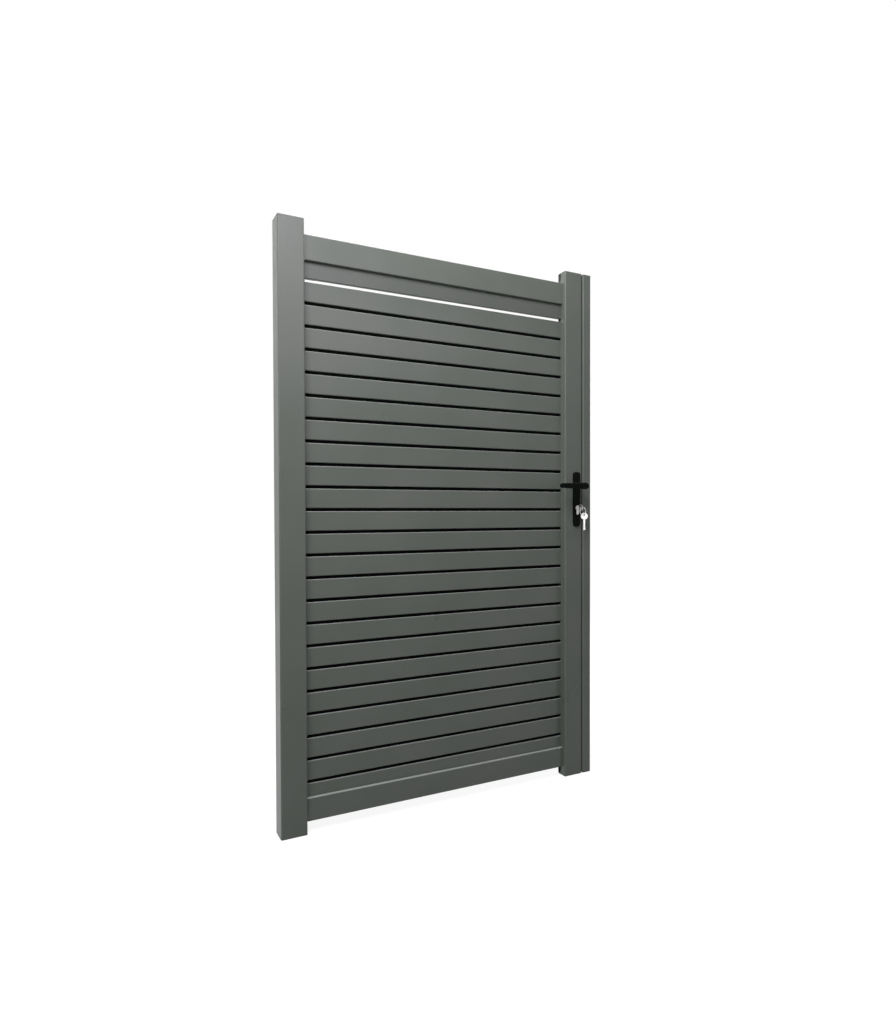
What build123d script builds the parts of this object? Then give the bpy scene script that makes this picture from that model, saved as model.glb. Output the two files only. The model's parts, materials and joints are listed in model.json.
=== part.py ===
"""Slat gate: a leaf of horizontal slats that swings on a hinge post, with a lever lockset and its keys.

Sizes are in millimetres. X runs along the gate from the hinge side to the lock side, +Y points to
the back and +Z up. The origin is the centre of the hinge post's outer face, where the post is fixed.
"""

import math
import os

from build123d import *

os.makedirs("parts", exist_ok=True)

# Overall
gate_height = 1800.0
gate_width = 1130.0
frame_depth = 65.0
hinge_gap = 5.0

# Hollow uprights
post_width = 78.0
lock_stile_width = 74.0
strip_width = 41.0
groove_width = 5.0
groove_depth = 10.0
frame_wall = 2.0
frame_corner = 4.5
cap_thickness = 3.0
cap_plug_depth = 12.0
cap_fit = 0.3

# Rails
top_rail_height = 75.5
bottom_rail_height = 70.0
rail_setback = 15.5
rail_corner = 3.0
top_rail_drop = 38.0
bottom_rail_lift = 31.0

# Slats
slat_height = 58.0
slat_gap = 9.6
slat_thickness = 12.0
slat_wall = 1.5
slat_corner = 2.5
top_slat_shown = 49.5
slat_seat = 18.0
end_slat_seat = 15.0
seat_spare = 2.0
slat_fit = 0.2
end_wall = 3.0
infill_thickness = 4.0

# Hinges and the batten behind the slat ends that carries them
batten_width = 40.0
batten_thickness = 14.0
batten_neck = 6.0
hinge_inset = 300.0
hinge_tall = 90.0
hinge_plate = 3.0
hinge_plate_wide = 34.0
hinge_plate_gap = 0.5
knuckle_radius = 5.0
knuckle_gap = 0.4
knuckle_sink = 1.0
knuckle_rise = 1.0
pin_radius = 3.0
pin_set_in = 2.0

# Lockset
backset = 26.0
lever_height = 1039.0
lock_centres = 77.0
plate_above = 51.0
plate_below = 67.0
plate_width = 28.0
plate_corner = 8.0
plate_foot_corner = 12.5
plate_thickness = 8.0
plate_edge = 1.5
lever_reach = 108.0
lever_hub = 12.0
lever_tip = 8.0
lever_stand_off = 47.0
lever_thickness = 14.0
lever_edge = 3.0
neck_radius = 9.0
neck_gap = 1.0
turning_fit = 0.05
spindle_side = 8.0
spindle_fit = 0.1
spindle_grip = 30.0
spindle_room = 7.0
case_room = 6.0
case_thickness = 16.0
case_margin = 45.0
faceplate_width = 22.0
faceplate_lap = 16.5
window_fit = 0.2
latch_size = (12.0, 22.0)
latch_throw = 10.0
latch_nose = 3.0
latch_straight = 1.0
bolt_size = (12.0, 30.0)
bolt_length = 30.0
bolt_fit = 0.2
latch_rise = 14.0

# Cylinder, keys and ring
cylinder_radius = 8.5
cylinder_leg = 5.0
cylinder_drop = 19.5
cylinder_stand = 10.0
cylinder_fit = 0.3
plug_radius = 6.5
plug_depth = 22.0
plug_proud = 0.5
plug_end_gap = 0.5
key_thickness = 2.0
key_bow = 12.5
key_hole = 3.2
key_blade = 8.0
key_bow_gap = 1.0
key_fit = 0.1
key_bow_reach = 13.5
key_hole_offset = 6.0
spare_bow = 12.0
spare_blade = 6.5
spare_hole = 3.5
spare_length = 61.0
spare_cuts = (1.0, 1.8, 1.4, 2.0, 0.9)
spare_cut_pitch = 5.0
ring_radius = 13.0
ring_wire = 0.9
ring_seat = 0.3
ring_lean = 60.0
spare_hang = 60.0
spare_turn = 45.0

# Places that follow from the sizes above
half_height = gate_height / 2
half_depth = frame_depth / 2
leaf_left = post_width + hinge_gap
leaf_right = gate_width
strip_left = leaf_right - strip_width
lock_stile_left = strip_left - lock_stile_width
clear_width = lock_stile_left - leaf_left
tube_length = gate_height - 2 * cap_thickness
channel_wide = slat_thickness + 2 * slat_fit
channel_deep = slat_seat + seat_spare
stile_back = channel_wide / 2 + frame_wall
rail_front = half_depth - rail_setback
top_rail_low = half_height - top_rail_drop - top_rail_height
bottom_rail_top = -half_height + bottom_rail_lift + bottom_rail_height
slat_pitch = slat_height + slat_gap
first_slat_top = top_rail_low - top_slat_shown - slat_gap
slat_count = int((first_slat_top - bottom_rail_top) // slat_pitch)
last_slat_low = first_slat_top - (slat_count - 1) * slat_pitch - slat_height
slat_length = clear_width + slat_seat
lock_x = strip_left - backset
lock_y = (stile_back - half_depth) / 2
lever_z = lever_height - half_height
key_z = lever_z - lock_centres
edge_inside = leaf_right - frame_wall
case_top = lever_z + case_margin
case_low = key_z - case_margin
case_back = lock_stile_left + channel_deep + frame_wall + case_room
faceplate_height = case_top - case_low + 2 * faceplate_lap
plate_top = lever_z + plate_above
plate_low = key_z - plate_below
lock_middle = (lever_z + key_z) / 2
latch_z = lever_z + latch_rise
bolt_z = lock_middle
cylinder_front = half_depth + cylinder_stand
cylinder_back = stile_back + cylinder_stand
batten_back = slat_thickness / 2 + batten_thickness
hinge_levels = (hinge_inset - half_height, 0.0, half_height - hinge_inset)
pin_x = post_width + hinge_plate - knuckle_sink + knuckle_radius
pin_y = batten_back + knuckle_radius + knuckle_rise
knuckle_third = (hinge_tall - 2 * knuckle_gap) / 3


def upright(x_low, width, y_back, channel):
    """Hollow upright from the front face to y_back; channel adds a slot for slat ends on its hinge side."""
    depth = half_depth + y_back
    with BuildPart() as tube:
        with BuildSketch(Plane.XY.offset(-tube_length / 2)):
            with Locations((x_low + width / 2, (y_back - half_depth) / 2)):
                RectangleRounded(width, depth, frame_corner)
                Rectangle(width - 2 * frame_wall, depth - 2 * frame_wall, mode=Mode.SUBTRACT)
            if channel:
                with Locations((x_low + (channel_deep + frame_wall) / 2, 0)):
                    Rectangle(channel_deep + frame_wall, channel_wide + 2 * frame_wall)
                with Locations((x_low + channel_deep / 2, 0)):
                    Rectangle(channel_deep, channel_wide, mode=Mode.SUBTRACT)
        extrude(amount=tube_length)
    return tube.part


def end_caps(x_low, width, y_back, channel):
    """Top and bottom caps of one upright, each with a plug that fits in the main chamber."""
    depth = half_depth + y_back
    y_middle = (y_back - half_depth) / 2
    chamber_low = x_low + frame_wall + (channel_deep if channel else 0)
    chamber_high = x_low + width - frame_wall
    plug_size = (chamber_high - chamber_low - 2 * cap_fit, depth - 2 * frame_wall - 2 * cap_fit)
    with BuildPart() as caps:
        for end in (-1, 1):
            with BuildSketch(Plane.XY.offset(end * tube_length / 2)):
                with Locations((x_low + width / 2, y_middle)):
                    RectangleRounded(width, depth, frame_corner)
            extrude(amount=end * cap_thickness)
            with BuildSketch(Plane.XY.offset(end * tube_length / 2)):
                with Locations(((chamber_low + chamber_high) / 2, y_middle)):
                    Rectangle(*plug_size)
            extrude(amount=-end * cap_plug_depth)
    return caps.part


def rail(z_low, height, mouth):
    """Hollow rail along X, closed at the hinge end; mouth +1 or -1 puts a slat's groove above or below."""
    depth = rail_front + stile_back
    y_middle = (stile_back - rail_front) / 2
    groove_deep = end_slat_seat + seat_spare
    z_mouth = z_low + height if mouth > 0 else z_low
    with BuildPart() as tube:
        with BuildSketch(Plane.YZ.offset(leaf_left)):
            with Locations((y_middle, z_low + height / 2)):
                RectangleRounded(depth, height, rail_corner)
        extrude(amount=clear_width)
        with BuildSketch(Plane.YZ.offset(leaf_left + end_wall)):
            with Locations((y_middle, z_low + height / 2)):
                Rectangle(depth - 2 * frame_wall, height - 2 * frame_wall)
            with Locations((0, z_mouth - mouth * (groove_deep + frame_wall) / 2)):
                Rectangle(channel_wide + 2 * frame_wall, groove_deep + frame_wall, mode=Mode.SUBTRACT)
        extrude(amount=clear_width - end_wall, mode=Mode.SUBTRACT)
        with BuildSketch(Plane.YZ.offset(leaf_left)):
            with Locations((0, z_mouth - mouth * groove_deep / 2)):
                Rectangle(channel_wide, groove_deep)
        extrude(amount=clear_width, mode=Mode.SUBTRACT)
    return tube.part


def slat(z_low, z_high, length):
    """Hollow slat with rounded long edges, closed at the hinge end."""
    tall = z_high - z_low
    with BuildPart() as bar:
        with BuildSketch(Plane.YZ.offset(leaf_left)):
            with Locations((0, (z_low + z_high) / 2)):
                RectangleRounded(slat_thickness, tall, slat_corner)
        extrude(amount=length)
        with BuildSketch(Plane.YZ.offset(leaf_left + end_wall)):
            with Locations((0, (z_low + z_high) / 2)):
                Rectangle(slat_thickness - 2 * slat_wall, tall - 2 * slat_wall)
        extrude(amount=length - end_wall, mode=Mode.SUBTRACT)
    return bar.part


def cylinder_outline(extra):
    """Sketch the lock cylinder's section, a round barrel with a leg below, grown by extra."""
    with Locations((lock_x, key_z)):
        Circle(cylinder_radius + extra)
    with Locations((lock_x, key_z - cylinder_drop / 2)):
        Rectangle(2 * (cylinder_leg + extra), cylinder_drop)
    with Locations((lock_x, key_z - cylinder_drop)):
        Circle(cylinder_leg + extra)


def save(part, name):
    """Name a finished piece and write its file."""
    part.label = name
    export_step(part, f"parts/{name}.step")


# Hinge post, which the leaf hangs on
save(upright(0, post_width, half_depth, False), "hinge_post")
save(end_caps(0, post_width, half_depth, False), "hinge_post_caps")

# Lock stile, cut for the spindle, the cylinder and the lock case
with BuildPart() as lock_stile:
    add(upright(lock_stile_left, lock_stile_width, stile_back, True))
    with BuildSketch(Plane.XZ):
        with Locations((lock_x, lever_z)):
            Circle(spindle_room)
        cylinder_outline(cylinder_fit)
    extrude(amount=frame_depth, both=True, mode=Mode.SUBTRACT)
    with BuildSketch(Plane.YZ.offset(strip_left - frame_wall)):
        with Locations((lock_y, lock_middle)):
            Rectangle(case_thickness + 2 * window_fit, case_top - case_low + 2 * window_fit)
    extrude(amount=frame_wall, mode=Mode.SUBTRACT)
save(lock_stile.part, "lock_stile")
save(end_caps(lock_stile_left, lock_stile_width, stile_back, True), "lock_stile_caps")

# Closing strip, the narrow upright beyond a groove; a solid web joins its tube to the stile
tube_left = strip_left + groove_width
tube_wide = strip_width - groove_width
web_front = groove_depth - half_depth
web_back = stile_back - frame_corner
with BuildPart() as closing_strip:
    add(upright(tube_left, tube_wide, stile_back, False))
    with BuildSketch(Plane.XY.offset(-tube_length / 2)):
        with Locations((strip_left + (groove_width + frame_wall) / 2, (web_front + web_back) / 2)):
            Rectangle(groove_width + frame_wall, web_back - web_front)
    extrude(amount=tube_length)
    with BuildSketch(Plane.YZ.offset(strip_left)):
        with Locations((lock_y, lock_middle)):
            Rectangle(case_thickness + 2 * window_fit, case_top - case_low + 2 * window_fit)
    extrude(amount=groove_width + frame_wall, mode=Mode.SUBTRACT)
    with BuildSketch(Plane.YZ.offset(edge_inside)):
        with Locations((lock_y, lock_middle)):
            Rectangle(faceplate_width + 2 * window_fit, faceplate_height + 2 * window_fit)
    extrude(amount=frame_wall, mode=Mode.SUBTRACT)
save(closing_strip.part, "closing_strip")
save(end_caps(tube_left, tube_wide, stile_back, False), "closing_strip_caps")

# Rails, and the end slats that sit in their grooves
save(rail(top_rail_low, top_rail_height, -1), "top_rail")
save(rail(bottom_rail_lift - half_height, bottom_rail_height, 1), "bottom_rail")
top_slat_low = top_rail_low - top_slat_shown
bottom_slat_top = last_slat_low - slat_gap
save(slat(top_slat_low, top_rail_low + end_slat_seat, slat_length), "top_slat")
save(slat(bottom_rail_top - end_slat_seat, bottom_slat_top, slat_length), "bottom_slat")

# Full slats, seated in the lock stile's channel and fixed to the batten at the hinge end
for number in range(slat_count):
    z_high = first_slat_top - number * slat_pitch
    save(slat(z_high - slat_height, z_high, slat_length), f"slat_{number + 1:02d}")

# Batten behind the slat ends, notched where the open top gap shows the background
batten_y = (slat_thickness / 2 + batten_back) / 2
notch_wide = batten_width - batten_neck
with BuildPart() as hinge_batten:
    with BuildSketch(Plane.XY.offset(bottom_rail_top)):
        with Locations((leaf_left + batten_width / 2, batten_y)):
            Rectangle(batten_width, batten_thickness)
    extrude(amount=top_rail_low - bottom_rail_top)
    with Locations((leaf_left + batten_neck + notch_wide / 2, batten_y, first_slat_top + slat_gap / 2)):
        Box(notch_wide, batten_thickness, 2 * slat_gap, mode=Mode.SUBTRACT)
save(hinge_batten.part, "hinge_batten")

# Black infill strips that close every gap but the top one, set near the back of the slats
with BuildPart() as gap_strips:
    for number in range(slat_count):
        gap_z = first_slat_top - slat_height - slat_gap / 2 - number * slat_pitch
        infill_y = slat_thickness / 2 - slat_corner - infill_thickness / 2
        with Locations((leaf_left + clear_width / 2, infill_y, gap_z)):
            Box(clear_width, infill_thickness, slat_gap)
save(gap_strips.part, "gap_strips")

# Hinges: a plate with the middle knuckle on the post, its pin, and a plate with two knuckles on the batten
plate_front = batten_back + hinge_plate_gap
plate_end = half_depth - frame_corner
with BuildPart() as post_hinges:
    for level in hinge_levels:
        z_low = level - knuckle_third / 2
        with BuildSketch(Plane.XY.offset(z_low)):
            with Locations((pin_x, pin_y)):
                Circle(knuckle_radius)
            with Locations((post_width + hinge_plate / 2, (plate_front + plate_end) / 2)):
                Rectangle(hinge_plate, plate_end - plate_front)
            with Locations((pin_x, pin_y)):
                Circle(pin_radius, mode=Mode.SUBTRACT)
        extrude(amount=knuckle_third)
save(post_hinges.part, "post_hinges")

with BuildPart() as hinge_pins:
    for level in hinge_levels:
        with Locations((pin_x, pin_y, level)):
            Cylinder(pin_radius, hinge_tall - 2 * pin_set_in)
save(hinge_pins.part, "hinge_pins")

with BuildPart() as leaf_hinges:
    for level in hinge_levels:
        with BuildSketch(Plane.XY.offset(level - hinge_tall / 2)):
            with Locations((pin_x, pin_y)):
                Circle(knuckle_radius)
            with Locations((pin_x + hinge_plate_wide / 2, batten_back + hinge_plate / 2)):
                Rectangle(hinge_plate_wide, hinge_plate)
        extrude(amount=hinge_tall)
        with BuildSketch(Plane.XY.offset(level - hinge_tall / 2)):
            with Locations((pin_x, pin_y)):
                Circle(pin_radius + turning_fit)
        extrude(amount=hinge_tall, mode=Mode.SUBTRACT)
        with BuildSketch(Plane.XY.offset(level - knuckle_third / 2 - knuckle_gap)):
            with Locations((pin_x, pin_y)):
                Circle(knuckle_radius + knuckle_rise)
        extrude(amount=knuckle_third + 2 * knuckle_gap, mode=Mode.SUBTRACT)
save(leaf_hinges.part, "leaf_hinges")

# Lock case in the stile and the strip, its faceplate, the latch and the dead bolt
with BuildPart() as lock_case:
    with BuildSketch(Plane.YZ.offset(edge_inside)):
        with Locations((lock_y, lock_middle)):
            Rectangle(case_thickness, case_top - case_low)
    extrude(amount=case_back - edge_inside)
    with BuildSketch(Plane.XZ):
        with Locations((lock_x, lever_z)):
            Circle(spindle_room)
        cylinder_outline(cylinder_fit)
    extrude(amount=frame_depth, both=True, mode=Mode.SUBTRACT)
    with BuildSketch(Plane.YZ.offset(edge_inside)):
        with Locations((lock_y, latch_z)):
            Rectangle(latch_size[0] + 2 * bolt_fit, latch_size[1] + 2 * bolt_fit)
        with Locations((lock_y, bolt_z)):
            Rectangle(bolt_size[0] + 2 * bolt_fit, bolt_size[1] + 2 * bolt_fit)
    extrude(amount=-bolt_length, mode=Mode.SUBTRACT)
save(lock_case.part, "lock_case")

with BuildPart() as faceplate:
    with BuildSketch(Plane.YZ.offset(edge_inside)):
        with Locations((lock_y, lock_middle)):
            Rectangle(faceplate_width, faceplate_height)
        with Locations((lock_y, latch_z)):
            Rectangle(latch_size[0] + 2 * bolt_fit, latch_size[1] + 2 * bolt_fit, mode=Mode.SUBTRACT)
        with Locations((lock_y, bolt_z)):
            Rectangle(bolt_size[0] + 2 * bolt_fit, bolt_size[1] + 2 * bolt_fit, mode=Mode.SUBTRACT)
    extrude(amount=frame_wall)
save(faceplate.part, "lock_faceplate")

bolt_back = edge_inside - bolt_length
latch_front = lock_y - latch_size[0] / 2
latch_rear = lock_y + latch_size[0] / 2
with BuildPart() as latch_bolt:
    with BuildSketch(Plane.XY.offset(latch_z - latch_size[1] / 2)):
        with BuildLine():
            Polyline(
                (bolt_back, latch_front),
                (leaf_right + latch_straight, latch_front),
                (leaf_right + latch_throw, latch_rear - latch_nose),
                (leaf_right + latch_throw, latch_rear),
                (bolt_back, latch_rear),
                close=True,
            )
        make_face()
    extrude(amount=latch_size[1])
save(latch_bolt.part, "latch_bolt")

with BuildPart() as dead_bolt:
    with BuildSketch(Plane.YZ.offset(leaf_right)):
        with Locations((lock_y, bolt_z)):
            Rectangle(*bolt_size)
    extrude(amount=-(leaf_right - bolt_back))
save(dead_bolt.part, "dead_bolt")

# Lock plates, one each side, rounder at the foot and holed for the lever's neck and the cylinder
foot_corner = min(plate_foot_corner, 0.47 * plate_width)
for name, side, face in (("front_lock_plate", 1, half_depth), ("back_lock_plate", -1, stile_back)):
    with BuildPart() as plate:
        with BuildSketch(Plane.XZ.offset(side * face)) as outline:
            with Locations((lock_x, (plate_top + plate_low) / 2)):
                Rectangle(plate_width, plate_top - plate_low)
            fillet(outline.vertices().sort_by(Axis.Y)[:2], radius=foot_corner)
            fillet(outline.vertices().sort_by(Axis.Y)[-2:], radius=plate_corner)
        extrude(amount=side * plate_thickness)
        rim = plate.faces().sort_by(Axis.Y)[0 if side > 0 else -1].edges()
        fillet(rim, radius=plate_edge)
        with BuildSketch(Plane.XZ.offset(side * face)):
            with Locations((lock_x, lever_z)):
                Circle(neck_radius + turning_fit)
            cylinder_outline(cylinder_fit)
        extrude(amount=side * plate_thickness, mode=Mode.SUBTRACT)
    save(plate.part, name)

# Lever handles, one each side, on a square spindle
for name, side, face in (("front_lever", 1, half_depth), ("back_lever", -1, stile_back)):
    lever_inner = face + lever_stand_off
    with BuildPart() as lever:
        with BuildSketch(Plane.XZ.offset(side * lever_inner)):
            with Locations((lock_x, lever_z)):
                Circle(lever_hub)
            with Locations((lock_x - lever_reach + lever_tip, lever_z)):
                Circle(lever_tip)
            make_hull()
        extrude(amount=side * lever_thickness)
        fillet(lever.edges(), radius=lever_edge)
        with BuildSketch(Plane.XZ.offset(side * (lever_inner + lever_edge))):
            with Locations((lock_x, lever_z)):
                Circle(neck_radius)
        extrude(amount=-side * (lever_stand_off + lever_edge - neck_gap))
        with BuildSketch(Plane.XZ.offset(side * face)):
            with Locations((lock_x, lever_z)):
                Rectangle(spindle_side + 2 * spindle_fit, spindle_side + 2 * spindle_fit)
        extrude(amount=side * spindle_grip, mode=Mode.SUBTRACT)
    save(lever.part, name)

with BuildPart() as spindle:
    with Locations((lock_x, lock_y, lever_z)):
        Box(spindle_side, half_depth + stile_back + 2 * spindle_grip, spindle_side)
save(spindle.part, "spindle")

# Lock cylinder with a bore for the turning plug in front and a keyway in its back face
with BuildPart() as lock_cylinder:
    with BuildSketch(Plane.XZ.offset(cylinder_front)):
        cylinder_outline(0)
    extrude(amount=-(cylinder_front + cylinder_back))
    with BuildSketch(Plane.XZ.offset(cylinder_front)):
        with Locations((lock_x, key_z)):
            Circle(plug_radius + turning_fit)
    extrude(amount=-plug_depth, mode=Mode.SUBTRACT)
    with BuildSketch(Plane.XZ.offset(-cylinder_back)):
        with Locations((lock_x, key_z)):
            Rectangle(key_thickness + 2 * key_fit, key_blade + 2 * key_fit)
    extrude(amount=plug_depth, mode=Mode.SUBTRACT)
save(lock_cylinder.part, "lock_cylinder")

with BuildPart() as lock_plug:
    with BuildSketch(Plane.XZ.offset(cylinder_front + plug_proud)):
        with Locations((lock_x, key_z)):
            Circle(plug_radius)
            Rectangle(key_thickness + 2 * key_fit, key_blade + 2 * key_fit, mode=Mode.SUBTRACT)
    extrude(amount=-(plug_depth + plug_proud - plug_end_gap))
save(lock_plug.part, "lock_plug")

# Key in the plug: a flat blade and a round bow with a hole for the ring
bow_y = -(cylinder_front + plug_proud + key_bow_gap + key_bow_reach)
ring_y = bow_y - key_hole_offset
with BuildPart() as key:
    with BuildSketch(Plane.YZ.offset(lock_x - key_thickness / 2)):
        with Locations((bow_y, key_z)):
            Circle(key_bow)
        with Locations((bow_y + (key_bow_reach + plug_depth) / 2, key_z)):
            Rectangle(key_bow_reach + plug_depth, key_blade)
        with Locations((ring_y, key_z)):
            Circle(key_hole, mode=Mode.SUBTRACT)
    extrude(amount=key_thickness)
save(key.part, "key")

# Ring that hangs in the hole of the key's bow, leaning to the latch side, and the spare key on it
lean = math.radians(ring_lean)
ring_across = ring_radius * math.cos(lean)
ring_drop = ring_radius * math.sin(lean)
wire_reach = ring_drop - math.sqrt((ring_radius - ring_wire) ** 2 - (ring_across + key_thickness / 2) ** 2)
ring_sag = key_hole - wire_reach - ring_seat
ring_x = lock_x + ring_across
ring_z = key_z - ring_drop - ring_sag
with BuildPart() as key_ring:
    with Locations(Location((ring_x, ring_y, ring_z), (90, 0, 0))):
        Torus(ring_radius, ring_wire)
save(key_ring.part, "key_ring")

hang = Vector(ring_radius, 0, 0).rotate(Axis.Y, spare_hang)
across = Vector(1, 0, 0).rotate(Axis.Z, -spare_turn)
hang_point = (ring_x + hang.X, ring_y, ring_z + hang.Z)
spare_plane = Plane(origin=hang_point, x_dir=across, z_dir=across.cross(Vector(0, 0, 1)))
spare_tip = key_hole_offset - spare_length
with BuildPart() as spare_key:
    with BuildSketch(spare_plane):
        with Locations((0, key_hole_offset - spare_bow)):
            Circle(spare_bow)
        with Locations((0, (spare_tip + key_hole_offset - spare_bow) / 2)):
            Rectangle(spare_blade, key_hole_offset - spare_bow - spare_tip)
        for number, cut in enumerate(spare_cuts):
            with Locations((spare_blade / 2, spare_tip + (number + 1) * spare_cut_pitch)):
                RegularPolygon(cut, 4, mode=Mode.SUBTRACT)
        Circle(spare_hole, mode=Mode.SUBTRACT)
    extrude(amount=key_thickness / 2, both=True)
save(spare_key.part, "spare_key")

whole_depth = half_depth + stile_back + 2 * (lever_stand_off + lever_thickness)
print("gate", gate_width, "wide,", gate_height, "tall,", whole_depth, "deep over the levers")
print("slats from", round(first_slat_top + half_height, 1), "down to", round(last_slat_low + half_height, 1))
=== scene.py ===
# %% [markdown]
# # A slat gate in its powder coat
# The gate's pieces come ready made, at their real size and place. This lesson gives them their finishes,
# adds the small hardware that makes a gate look real, and sets up a studio with a camera to see it.

# %% Load the gate
import json
import math

import bpy
import numpy as np
from mathutils import Matrix, Vector


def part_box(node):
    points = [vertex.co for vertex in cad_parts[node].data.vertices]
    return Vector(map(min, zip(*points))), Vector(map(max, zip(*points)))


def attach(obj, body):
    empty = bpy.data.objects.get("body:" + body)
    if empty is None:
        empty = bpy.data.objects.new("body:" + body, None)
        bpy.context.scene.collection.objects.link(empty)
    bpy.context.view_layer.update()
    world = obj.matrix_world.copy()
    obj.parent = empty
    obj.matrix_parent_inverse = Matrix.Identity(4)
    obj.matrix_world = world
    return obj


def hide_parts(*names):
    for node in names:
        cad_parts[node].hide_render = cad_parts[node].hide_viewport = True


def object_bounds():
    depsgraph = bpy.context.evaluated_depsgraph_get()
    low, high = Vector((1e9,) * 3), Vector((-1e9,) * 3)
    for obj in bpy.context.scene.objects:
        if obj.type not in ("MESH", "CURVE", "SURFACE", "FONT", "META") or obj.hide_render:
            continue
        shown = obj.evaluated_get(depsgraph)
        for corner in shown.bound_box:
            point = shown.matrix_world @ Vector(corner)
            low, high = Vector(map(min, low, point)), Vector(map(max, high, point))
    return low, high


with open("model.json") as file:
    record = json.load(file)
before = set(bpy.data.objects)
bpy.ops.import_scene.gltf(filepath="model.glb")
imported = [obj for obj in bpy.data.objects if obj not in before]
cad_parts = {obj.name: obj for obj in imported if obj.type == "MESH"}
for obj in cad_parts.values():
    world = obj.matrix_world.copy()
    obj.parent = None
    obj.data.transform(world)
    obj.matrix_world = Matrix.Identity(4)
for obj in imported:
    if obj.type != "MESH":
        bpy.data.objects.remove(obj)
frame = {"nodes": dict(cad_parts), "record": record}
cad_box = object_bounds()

MM = 0.001
nodes = frame["nodes"]
scene = bpy.context.scene
scene.view_settings.view_transform = "Standard"
print("pieces loaded:", len(nodes))

# %% [markdown]
# ## The camera
# A gate photographed close by shows strong perspective: the near post towers over the far stile. To get
# the same view, the camera needs the place, the turn and the focal length that the photographer had. They
# are written here as plain measures, and the camera's three axes are worked out from the turn.

# %% Camera
IMAGE_TALL = 1016
SENSOR_MM = 36.0
FOCAL_PIXELS = 676.4
AXIS_BELOW_MIDDLE = 15.6
CAMERA_PLACE = Vector((-0.4671, -1.9734, 0.0477))
YAW, PITCH, ROLL = np.radians((27.538, -0.965, -0.149))


def camera_axes(yaw, pitch, roll):
    """Right, up and back of a camera that looks along +Y, turned by yaw to +X, tipped by pitch, rolled."""
    forward = Vector((math.sin(yaw) * math.cos(pitch), math.cos(yaw) * math.cos(pitch), math.sin(pitch)))
    level = Vector((math.cos(yaw), -math.sin(yaw), 0))
    upright = level.cross(forward)
    right = level * math.cos(roll) + upright * math.sin(roll)
    return right, right.cross(forward), -forward


camera_data = bpy.data.cameras.new("camera")
camera_data.sensor_width = SENSOR_MM
camera_data.lens = FOCAL_PIXELS * SENSOR_MM / IMAGE_TALL
camera_data.shift_y = AXIS_BELOW_MIDDLE / IMAGE_TALL
camera = bpy.data.objects.new("camera", camera_data)
scene.collection.objects.link(camera)
turn = Matrix(camera_axes(YAW, PITCH, ROLL)).transposed().to_4x4()
camera.matrix_world = Matrix.Translation(CAMERA_PLACE) @ turn
scene.camera = camera
print("lens", round(camera_data.lens, 2), "mm")

# %% [markdown]
# ## White space
# A product picture stands in white space, yet that white mustn't flood the gate with light. The world is
# white where the camera, a reflection or glass sees it, and only a mild fill for everything else. The
# small helpers for nodes that are made here come back in the floor and in the finishes.

# %% World
FILL_LIGHT = 0.04
WHITE = 1.0


def combined(tree, operation, first, second):
    """A maths node that combines two values, such as their product or the larger of them."""
    maths = tree.nodes.new("ShaderNodeMath")
    maths.operation = operation
    tree.links.new(first, maths.inputs[0])
    tree.links.new(second, maths.inputs[1])
    return maths.outputs[0]


def ranged(tree, value, source=(0, 1), target=(0, 1), smooth=False):
    """A value carried from the source range to the target range, evenly or with soft ends."""
    node = tree.nodes.new("ShaderNodeMapRange")
    node.interpolation_type = "SMOOTHSTEP" if smooth else "LINEAR"
    node.inputs["From Min"].default_value, node.inputs["From Max"].default_value = source
    node.inputs["To Min"].default_value, node.inputs["To Max"].default_value = target
    tree.links.new(value, node.inputs["Value"])
    return node.outputs["Result"]


def seen_directly(tree):
    """A value that is 1 where the camera, a reflection or glass sees the surface, and 0 for its light."""
    path = tree.nodes.new("ShaderNodeLightPath")
    mirrored = combined(tree, "MAXIMUM", path.outputs["Is Camera Ray"], path.outputs["Is Glossy Ray"])
    return combined(tree, "MAXIMUM", mirrored, path.outputs["Is Transmission Ray"])


world = bpy.data.worlds.new("white_space")
scene.world = world
world.use_nodes = True
sky = world.node_tree
background = sky.nodes["Background"]
background.inputs["Color"].default_value = (1, 1, 1, 1)
strength = ranged(sky, seen_directly(sky), target=(FILL_LIGHT, WHITE))
sky.links.new(strength, background.inputs["Strength"])
print("fill light", FILL_LIGHT)

# %% [markdown]
# ## The floor
# The floor keeps the gate's shadow, and still has to melt into the white behind it. Its paint is a matt
# grey that the lamps light, plus a glow that only direct sight adds. The glow grows with the distance from
# the post, so the far edge of the floor can't be told from the white.

# %% Floor
FLOOR_REACH = 30.0
FLOOR_GREY = 0.25
GLOW_RANGE = (0.76, 1.0)
GLOW_REACH = (1.0, 4.0)


def floor_paint():
    """Matt grey plus a glow whose strength eases from low to high with the distance from the origin."""
    paint = bpy.data.materials.new("pale_floor")
    paint.use_nodes = True
    tree = paint.node_tree
    tree.nodes.remove(tree.nodes["Principled BSDF"])
    matt = tree.nodes.new("ShaderNodeBsdfDiffuse")
    matt.inputs["Color"].default_value = (FLOOR_GREY, FLOOR_GREY, FLOOR_GREY, 1)
    place = tree.nodes.new("ShaderNodeTexCoord")
    distance = tree.nodes.new("ShaderNodeVectorMath")
    distance.operation = "LENGTH"
    tree.links.new(place.outputs["Object"], distance.inputs[0])
    far = ranged(tree, distance.outputs["Value"], GLOW_REACH, GLOW_RANGE, smooth=True)
    glow = tree.nodes.new("ShaderNodeEmission")
    tree.links.new(combined(tree, "MULTIPLY", seen_directly(tree), far), glow.inputs["Strength"])
    both = tree.nodes.new("ShaderNodeAddShader")
    tree.links.new(matt.outputs[0], both.inputs[0])
    tree.links.new(glow.outputs[0], both.inputs[1])
    tree.links.new(both.outputs[0], tree.nodes["Material Output"].inputs["Surface"])
    return paint


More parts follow.
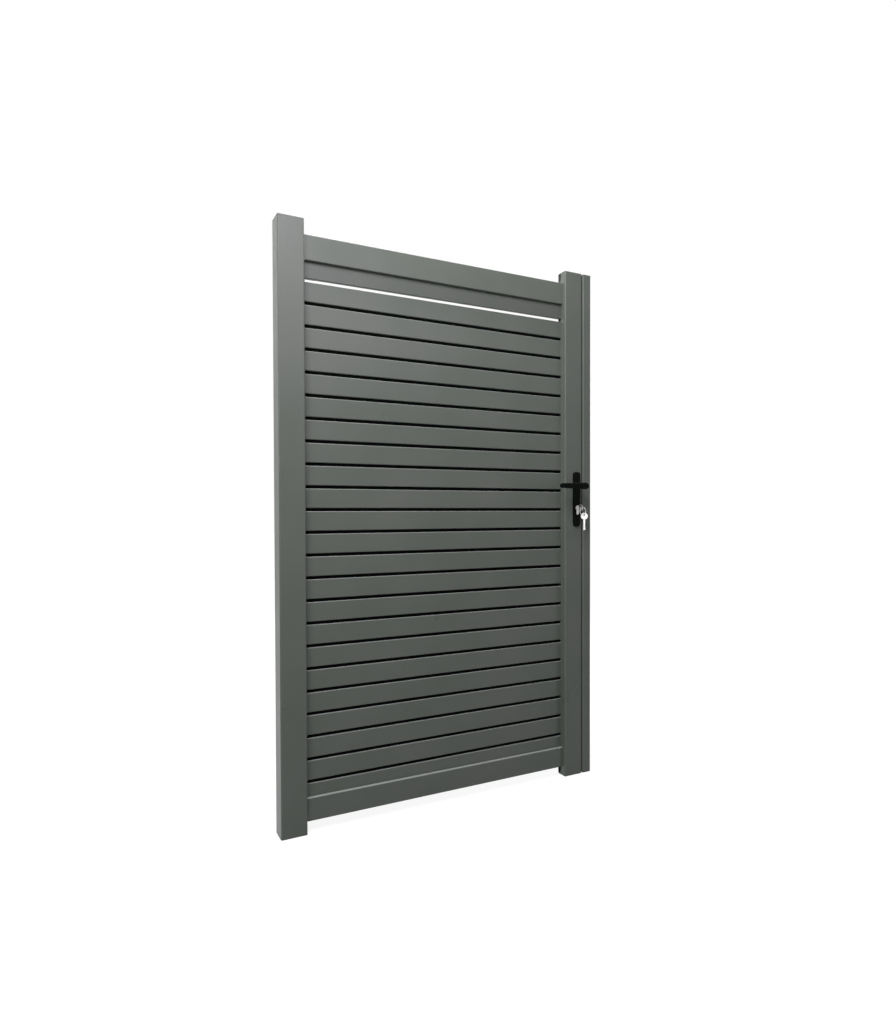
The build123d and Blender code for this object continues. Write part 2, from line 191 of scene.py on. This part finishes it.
corners = np.array([(-1, -1), (1, -1), (1, 1), (-1, 1)]) * FLOOR_REACH
floor_mesh = bpy.data.meshes.new("floor")
floor_mesh.from_pydata([(x, y, cad_box[0].z) for x, y in corners], [], [(0, 1, 2, 3)])
floor_mesh.materials.append(floor_paint())
floor = bpy.data.objects.new("floor", floor_mesh)
scene.collection.objects.link(floor)
print("floor at", round(cad_box[0].z, 3), "m")

# %% [markdown]
# ## The lamps
# Each lamp has one task. Two on the left, one high and one low, light the front, which gets darker to the
# right and towards the ground. Two closer to the top give the upper slats their shine. One looks at the
# post's outer side, and a long one overhead draws a bright line on the upper edge of every slat. The last
# two keep the back and the lock side readable when the gate is seen from there. The lamps in front and at
# the post's side have a tint that takes a little green out of the lit paint.

# %% Lamps
COOL = (1.0, 0.96, 1.02)
COOLER = (1.0, 0.88, 1.08)


def soft_lamp(name, place, aim, size, watts, tint=(1, 1, 1)):
    """A rectangular area lamp at a place, turned to face an aim point."""
    data = bpy.data.lights.new(name, "AREA")
    data.shape = "RECTANGLE"
    data.size, data.size_y = size
    data.energy = watts
    data.color = tint
    lamp = bpy.data.objects.new(name, data)
    scene.collection.objects.link(lamp)
    lamp.location = place
    lamp.rotation_euler = (Vector(aim) - Vector(place)).to_track_quat("-Z", "Y").to_euler()


soft_lamp("high_left_lamp", (-0.9, -1.6, 1.9), (0.3, 0, 0.5), (1.0, 1.0), 34, COOL)
soft_lamp("left_lamp", (-2.0, -2.4, 0.6), (0.3, 0, 0.2), (1.2, 1.2), 16, COOL)
soft_lamp("shine_lamp", (0.75, -2.0, 1.2), (0.3, 0, 0.5), (0.8, 0.6), 5, COOLER)
soft_lamp("near_lamp", (0.0, -1.0, 1.5), (0.2, 0, 0.6), (0.8, 0.8), 14, COOLER)
soft_lamp("side_lamp", (-2.5, 0.2, 0.8), (0, 0, 0.3), (1.2, 1.2), 16, COOL)
soft_lamp("overhead_lamp", (0.45, -0.3, 2.6), (0.45, -0.1, 0), (1.8, 0.3), 58)
soft_lamp("back_lamp", (0.8, 2.8, 1.9), (0.6, 0, 0.1), (2.0, 2.0), 95)
soft_lamp("right_lamp", (3.2, 0.5, 1.0), (1.1, 0.1, 0.1), (1.2, 1.2), 32)

# %% [markdown]
# ## The skin of a coat
# Powder coat is melted plastic dust: from near by its skin is faintly dimpled, like an orange, and its tone
# drifts a little from place to place. Several finishes need that, so it is a node group with two knobs,
# and every finish can use it with values of its own.

# %% Coat skin
CLOUD_SPREAD = (0.3, 0.7)


def effect_group(name, inputs, outputs):
    """An empty shader node group with number inputs (name, default) and number outputs."""
    group = bpy.data.node_groups.new(name, "ShaderNodeTree")
    for label, default in inputs:
        socket = group.interface.new_socket(label, in_out="INPUT", socket_type="NodeSocketFloat")
        socket.default_value = default
    for label in outputs:
        group.interface.new_socket(label, in_out="OUTPUT", socket_type="NodeSocketFloat")
    return group, group.nodes.new("NodeGroupInput"), group.nodes.new("NodeGroupOutput")


def noise_on_object(group, scale_socket, stretch=(1, 1, 1), detail=2.0):
    """A noise texture on Object coordinates, stretched, with its scale taken from a socket."""
    place = group.nodes.new("ShaderNodeTexCoord")
    mapping = group.nodes.new("ShaderNodeMapping")
    mapping.inputs["Scale"].default_value = stretch
    noise = group.nodes.new("ShaderNodeTexNoise")
    noise.inputs["Detail"].default_value = detail
    group.links.new(place.outputs["Object"], mapping.inputs["Vector"])
    group.links.new(mapping.outputs["Vector"], noise.inputs["Vector"])
    group.links.new(scale_socket, noise.inputs["Scale"])
    return noise.outputs["Fac"]


def coat_skin():
    """Fine dimples as a height, and broad cloudy patches as a tone from 0 to 1."""
    group, knobs, result = effect_group(
        "coat_skin", [("Dimple Scale", 600), ("Cloud Scale", 5)], ["Height", "Tone"],
    )
    dimples = noise_on_object(group, knobs.outputs["Dimple Scale"])
    clouds = noise_on_object(group, knobs.outputs["Cloud Scale"], detail=3.0)
    group.links.new(dimples, result.inputs["Height"])
    group.links.new(ranged(group, clouds, source=CLOUD_SPREAD), result.inputs["Tone"])
    return group


SKIN = coat_skin()
print("effect:", SKIN.name)

# %% [markdown]
# ## Hairlines and painted top light
# Metal that was ground has hairlines, which are noise drawn out along one direction. Faces that look up get
# pale paint that stands in for light from above, a painted highlight: it reads the direction of the surface
# and is broken up by noise.

# %% Hairlines and painted top light
ALONG_UPRIGHT = (1, 1, 0.04)
# Which faces get the pale paint that stands in for light from above, and how patchily: a painted highlight.
FACES_UP = (0.35, 0.95)
TOP_LIGHT_PATCHES = (0.6, 1.0)


def hairlines():
    """Noise drawn out along the upright, as a height and a tone, for ground metal."""
    group, knobs, result = effect_group("hairlines", [("Line Scale", 900)], ["Height", "Tone"])
    lines = noise_on_object(group, knobs.outputs["Line Scale"], stretch=ALONG_UPRIGHT, detail=4.0)
    group.links.new(lines, result.inputs["Height"])
    group.links.new(lines, result.inputs["Tone"])
    return group


def painted_top_light():
    """Mask for a painted highlight: strong where a face looks up, broken by noise."""
    group, knobs, result = effect_group("painted_top_light", [("Amount", 0.5), ("Patch Scale", 60)], ["Mask"])
    geometry = group.nodes.new("ShaderNodeNewGeometry")
    direction = group.nodes.new("ShaderNodeSeparateXYZ")
    group.links.new(geometry.outputs["Normal"], direction.inputs[0])
    upward = ranged(group, direction.outputs["Z"], source=FACES_UP, smooth=True)
    patches = ranged(group, noise_on_object(group, knobs.outputs["Patch Scale"]), target=TOP_LIGHT_PATCHES)
    broken = combined(group, "MULTIPLY", upward, patches)
    group.links.new(combined(group, "MULTIPLY", broken, knobs.outputs["Amount"]), result.inputs["Mask"])
    return group


HAIRLINES, TOP_LIGHT_GROUP = hairlines(), painted_top_light()
print("effects:", HAIRLINES.name, TOP_LIGHT_GROUP.name)

# %% [markdown]
# ## The painted pieces
# Every finish follows one recipe: two close colours mixed by an effect's tone, a roughness that varies with
# the same tone, and the effect's height as a bump. Only the numbers differ from paint to metal, so one
# function makes them all. The satin powder coat comes first, with a painted highlight on its upper edges:
# pale paint that stands in for light from above. The plastic end caps have nearly the same colour, but
# they are duller.

# %% Powder coat and caps
# Colour of the pale paint on upward faces, a painted highlight that stands in for light from above.
TOP_LIGHT_PAINT = (0.36, 0.38, 0.36)
finishes = {}


def finish(name, effect, knobs, colours, rough, bump, sheen=0.5, metallic=0.0, top_light_amount=0.0):
    """A material whose colour and roughness follow an effect's tone, and whose bump follows its height.

    Colours and rough are pairs for the lowest and highest tone, bump is its strength and its depth in
    metres, and top_light_amount is how much pale paint on the faces that look up stands in for light from
    above, a painted highlight.
    """
    made = bpy.data.materials.new(name)
    made.use_nodes = True
    tree = made.node_tree
    shader = tree.nodes["Principled BSDF"]
    shader.inputs["Metallic"].default_value = metallic
    shader.inputs["Specular IOR Level"].default_value = sheen
    skin = tree.nodes.new("ShaderNodeGroup")
    skin.node_tree = effect
    for label, value in knobs.items():
        skin.inputs[label].default_value = value
    colour = tree.nodes.new("ShaderNodeMix")
    colour.data_type = "RGBA"
    colour.inputs["A"].default_value = (*colours[0], 1)
    colour.inputs["B"].default_value = (*colours[1], 1)
    tree.links.new(skin.outputs["Tone"], colour.inputs["Factor"])
    paint = colour.outputs["Result"]
    # Pale paint on the faces that look up stands in for light from above: a painted highlight.
    if top_light_amount:
        top_light_node = tree.nodes.new("ShaderNodeGroup")
        top_light_node.node_tree = TOP_LIGHT_GROUP
        top_light_node.inputs["Amount"].default_value = top_light_amount
        top_lit = tree.nodes.new("ShaderNodeMix")
        top_lit.data_type = "RGBA"
        top_lit.inputs["B"].default_value = (*TOP_LIGHT_PAINT, 1)
        tree.links.new(top_light_node.outputs["Mask"], top_lit.inputs["Factor"])
        tree.links.new(paint, top_lit.inputs["A"])
        paint = top_lit.outputs["Result"]
    tree.links.new(paint, shader.inputs["Base Color"])
    tree.links.new(ranged(tree, skin.outputs["Tone"], target=rough), shader.inputs["Roughness"])
    relief = tree.nodes.new("ShaderNodeBump")
    relief.inputs["Strength"].default_value, relief.inputs["Distance"].default_value = bump
    tree.links.new(skin.outputs["Height"], relief.inputs["Height"])
    tree.links.new(relief.outputs["Normal"], shader.inputs["Normal"])
    finishes[name] = made


# The last number of the powder coat and of the caps paints a highlight on their upward faces, standing in for
# light from above.
finish(
    "powder_coat", SKIN, {"Dimple Scale": 650, "Cloud Scale": 4.5},
    colours=((0.104, 0.124, 0.1), (0.119, 0.136, 0.112)), rough=(0.27, 0.35), bump=(0.2, 0.0003),
    sheen=0.22, top_light_amount=0.7,
)
finish(
    "caps", SKIN, {"Dimple Scale": 900, "Cloud Scale": 12},
    colours=((0.108, 0.125, 0.103), (0.121, 0.135, 0.113)), rough=(0.48, 0.58), bump=(0.2, 0.0003),
    sheen=0.15, top_light_amount=0.3,
)
print("finishes:", ", ".join(finishes))

# %% [markdown]
# ## The black pieces
# The strips behind the gaps are near-black, which is painted shade: they make each gap read as deep shade,
# so they are dull and almost without shine. The lock plates and levers are black too, but smoother, so that
# their rounded edges still catch a little light.

# %% Black finishes
# The near-black strips behind the gaps are painted shade that darkens every gap.
finish(
    "black_strip", SKIN, {"Dimple Scale": 1500, "Cloud Scale": 20},
    colours=((0.002, 0.0024, 0.002), (0.004, 0.0046, 0.004)), rough=(0.75, 0.9), bump=(0.3, 0.0003),
    sheen=0.02,
)
# The black hardware gets a faint painted highlight on its upward faces as well.
finish(
    "black_hardware", SKIN, {"Dimple Scale": 1400, "Cloud Scale": 30},
    colours=((0.002, 0.003, 0.002), (0.004, 0.0052, 0.004)), rough=(0.34, 0.46), bump=(0.2, 0.0002),
    sheen=0.03, top_light_amount=0.04,
)
print("finishes:", ", ".join(finishes))

# %% [markdown]
# ## Bare metal
# Hinges, bolts and screws are ground steel, the lock cylinder is a finer satin, and the keys and their ring
# are nickel plated. All three use the hairlines, the finer ones with a larger scale.

# %% Metals
finish(
    "steel", HAIRLINES, {"Line Scale": 900},
    colours=((0.42, 0.42, 0.41), (0.56, 0.56, 0.55)), rough=(0.28, 0.42), bump=(0.15, 0.0001),
    metallic=1.0,
)
finish(
    "cylinder", HAIRLINES, {"Line Scale": 1600},
    colours=((0.45, 0.45, 0.43), (0.56, 0.56, 0.54)), rough=(0.34, 0.46), bump=(0.12, 0.0001),
    metallic=1.0,
)
finish(
    "nickel", HAIRLINES, {"Line Scale": 1300},
    colours=((0.46, 0.46, 0.45), (0.58, 0.58, 0.57)), rough=(0.3, 0.42), bump=(0.08, 0.0001),
    metallic=1.0,
)
print("finishes:", ", ".join(finishes))

# %% [markdown]
# ## Dress the gate
# The gate's own pieces already have the right shape, so each only takes the finish that its record names.

# %% Dress the gate's own pieces
slot_of = {row["node"]: row["material_slot"] for row in frame["record"]["subparts"]}
for name, piece in nodes.items():
    piece.data.materials.clear()
    piece.data.materials.append(finishes[slot_of[name]])
print("dressed:", len(slot_of), "pieces")

# %% [markdown]
# ## Small round heads
# Screws and rivets are bodies of revolution, so each is a profile turned about its axis: a grid of points
# with one parameter along the profile and the other round the axis. A hex socket only needs its rows to
# follow a hexagon in place of a circle.

# %% Screw and rivet heads
ROUND_STEPS = 36


def hexagon(angle, flat):
    """Distance from the centre to a hexagon's edge at an angle, where flat is half its width over flats."""
    return flat / np.cos((angle % (math.pi / 3)) - math.pi / 6)


def turned(profile):
    """Turn rows of (radius, height, is_hexagon) about the Z axis: x = r cos a, y = r sin a, z = height."""
    angle = np.linspace(0, 2 * math.pi, ROUND_STEPS, endpoint=False)
    rows = np.array(profile, float)
    circle = np.repeat(rows[:, :1], ROUND_STEPS, axis=1)
    radius = np.where(rows[:, 2:3] > 0, hexagon(angle[None, :], rows[:, :1]), circle)
    height = np.repeat(rows[:, 1:2], ROUND_STEPS, axis=1)
    return np.stack([radius * np.cos(angle), radius * np.sin(angle), height], axis=-1)


def socket_screw(radius, height, socket):
    """Low domed head with a hex socket: rows from the rim up over the dome, down the socket to its floor."""
    return turned([
        (radius, 0, 0), (radius, 0.35 * height, 0), (0.93 * radius, 0.66 * height, 0),
        (0.75 * radius, 0.92 * height, 0), (1.3 * socket, height, 0), (socket, 0.95 * height, 1),
        (socket, 0.15 * height, 1), (0.2 * socket, 0.1 * height, 1),
    ])


def rivet(radius, height):
    """Blind rivet head: a thin flange, a low dome and the dimple that the drawn nail leaves in its middle."""
    return turned([
        (radius, 0, 0), (radius, 0.25 * height, 0), (0.85 * radius, 0.6 * height, 0),
        (0.6 * radius, 0.9 * height, 0), (0.4 * radius, height, 0), (0.3 * radius, 0.9 * height, 0),
        (0.26 * radius, 0.4 * height, 0),
    ])


plate_screw = socket_screw(3.6 * MM, 1.4 * MM, 1.5 * MM)
hinge_screw = socket_screw(4.0 * MM, 1.6 * MM, 1.7 * MM)
faceplate_screw = socket_screw(3.2 * MM, 1.0 * MM, 1.4 * MM)
batten_rivet = rivet(4.5 * MM, 1.8 * MM)
print("rows and columns of a screw head:", plate_screw.shape[:2])

# %% [markdown]
# ## From arrays to pieces
# One mesh holds all the heads of a kind, worked out as one array: each head is turned to face away from
# its surface and moved to its place. Edges that bend sharply stay crisp, and the rest is shaded smooth.

# %% Meshes from grids
SHARP_ANGLE = 35.0


def stand_on(shape, places, outward):
    """Copies of a shape at each place, with its Z axis turned to point outward from the surface there."""
    out = np.array(outward, float)
    side = np.cross((0, 1, 0) if abs(out[1]) < 0.5 else (1, 0, 0), out)
    side /= np.linalg.norm(side)
    axes = np.stack([side, np.cross(out, side), out])
    return np.array(places, float)[:, None, None, :] + (shape @ axes)[None]


def closed_mesh(name, copies):
    """One mesh from grids (copy, row, column, xyz): quads between rows, a flat cap on each end row."""
    count, rows, columns = copies.shape[:3]
    index = np.arange(count * rows * columns).reshape(count, rows, columns)
    ahead = np.roll(index, -1, axis=2)
    quads = np.stack([index[:, :-1], ahead[:, :-1], ahead[:, 1:], index[:, 1:]], axis=-1).reshape(-1, 4)
    caps = [*index[:, 0, ::-1].tolist(), *index[:, -1].tolist()]
    mesh = bpy.data.meshes.new(name)
    mesh.from_pydata(copies.reshape(-1, 3).tolist(), [], quads.tolist() + caps)
    mesh.shade_smooth()
    mesh.set_sharp_from_angle(angle=math.radians(SHARP_ANGLE))
    return mesh


def add_piece(name, copies, body, slot):
    """Show grids of points as a piece of the gate: it rides on a body and wears a slot's finish."""
    mesh = closed_mesh(name, copies)
    mesh.materials.append(finishes[slot])
    piece = bpy.data.objects.new(name, mesh)
    scene.collection.objects.link(piece)
    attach(piece, body)
    print(name, "faces:", len(mesh.polygons))
    return piece


def middle(low, high, axis):
    """Middle of a box along one axis."""
    return (low[axis] + high[axis]) / 2


print("edges sharper than", SHARP_ANGLE, "degrees stay crisp")

# %% [markdown]
# ## Screws of the lock plates
# A long lock plate is held by one screw near each end. The places come from the boxes of the plates
# themselves, so the screws sit on them exactly, on the front plate's front and the back plate's back.

# %% Plate screws
PLATE_INSET = 13 * MM

for side, face, outward in (("front", 0, (0, -1, 0)), ("back", 1, (0, 1, 0))):
    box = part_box(f"{side}_lock_plate")
    ends = (box[0].z + PLATE_INSET, box[1].z - PLATE_INSET)
    places = [(middle(*box, 0), box[face].y, z) for z in ends]
    add_piece(f"{side}_plate_screws", stand_on(plate_screw, places, outward), "leaf", "black_hardware")

# %% [markdown]
# ## Screws of the hinges
# Each hinge plate on the leaf takes three screws in a row. The plate is thinner than the knuckles beside
# it, so its back is measured on the points at its free edge.

# %% Hinge screws
HINGE_INSET, HINGE_HALF, SCREW_STEP = 15 * MM, 45 * MM, 30 * MM
EDGE_BAND = 1 * MM
low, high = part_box("leaf_hinges")
hinge_points = np.array([vertex.co for vertex in nodes["leaf_hinges"].data.vertices])
plate_back = hinge_points[hinge_points[:, 0] > high.x - EDGE_BAND, 1].max()
hinge_levels = (low.z + HINGE_HALF, 0.0, high.z - HINGE_HALF)
heights = [level + step for level in hinge_levels for step in (-SCREW_STEP, 0, SCREW_STEP)]
places = [(high.x - HINGE_INSET, plate_back, z) for z in heights]
add_piece("hinge_screws", stand_on(hinge_screw, places, (0, 1, 0)), "leaf", "steel")

# %% [markdown]
# ## Screws of the faceplate
# In the gate's edge the lock ends in a narrow steel plate, with one screw above its bolts and one below.

# %% Faceplate screws
FACEPLATE_INSET = 9 * MM
low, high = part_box("lock_faceplate")
ends = (low.z + FACEPLATE_INSET, high.z - FACEPLATE_INSET)
places = [(high.x, middle(low, high, 1), z) for z in ends]
add_piece("faceplate_screws", stand_on(faceplate_screw, places, (1, 0, 0)), "leaf", "steel")

# %% [markdown]
# ## Rivets along the batten
# Behind the slat ends a flat bar ties all slats together, with one rivet in each. Where a hinge plate
# already covers the bar, its screws do that work, so those slats get no rivet.

# %% Rivets
RIVET_CLEAR = 52 * MM
low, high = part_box("hinge_batten")
slat_middles = [middle(*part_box(name), 2) for name in sorted(nodes) if name.startswith("slat_")]
free = [z for z in slat_middles if min(abs(z - level) for level in hinge_levels) > RIVET_CLEAR]
places = [(middle(low, high, 0), high.y, z) for z in free]
add_piece("batten_rivets", stand_on(batten_rivet, places, (0, 1, 0)), "leaf", "powder_coat")

# %% [markdown]
# ## The split ring
# A key ring is two turns of flat spring wire lying against each other, with a step where one turn passes
# to the next. Its surface is an oval profile carried along that path: the angle runs twice round, and a
# smooth step moves the wire sideways by its own thickness in the middle.

# %% Split ring
RING_STEPS, WIRE_STEPS = 160, 14
END_GAP, TURN_GAP = 0.05, 0.04
STEP_START, STEP_LONG = 1.85 * math.pi, 0.3 * math.pi


def split_ring(radius, half_wide, half_thick):
    """Oval tube along two turns in the XZ plane, with a smooth step along Y from turn to turn.

    x = reach cos a and z = reach sin a, where a runs along the wire, b round it, and reach is the radius
    plus half_wide cos b. y = the step's shift at a, plus half_thick sin b.
    """
    along = np.linspace(END_GAP, 4 * math.pi - END_GAP, RING_STEPS)[:, None]
    step = np.clip((along - STEP_START) / STEP_LONG, 0, 1)
    shift = (1 + TURN_GAP) * half_thick * (2 * step * step * (3 - 2 * step) - 1)
    around = np.linspace(0, 2 * math.pi, WIRE_STEPS, endpoint=False)[None, :]
    reach = radius + half_wide * np.cos(around)
    sideways = shift + half_thick * np.sin(around)
    return np.stack([reach * np.cos(along), sideways, reach * np.sin(along)], axis=-1)


low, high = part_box("key_ring")
centre = (np.array(low) + np.array(high)) / 2
wire = (high.y - low.y) / 2
ring_radius = (high.x - low.x) / 2 - wire
ring_points = centre + split_ring(ring_radius, wire, wire / 2 / (1 + TURN_GAP))
ring = add_piece("split_ring", ring_points[None], "key", "nickel")
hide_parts("key_ring")

# %% [markdown]
# ## The gate's box
# New hardware mustn't make the gate any larger. The box of the gate from the start is printed here.

# %% Print the gate's box
print("cad box", [tuple(round(v, 4) for v in c) for c in cad_box])
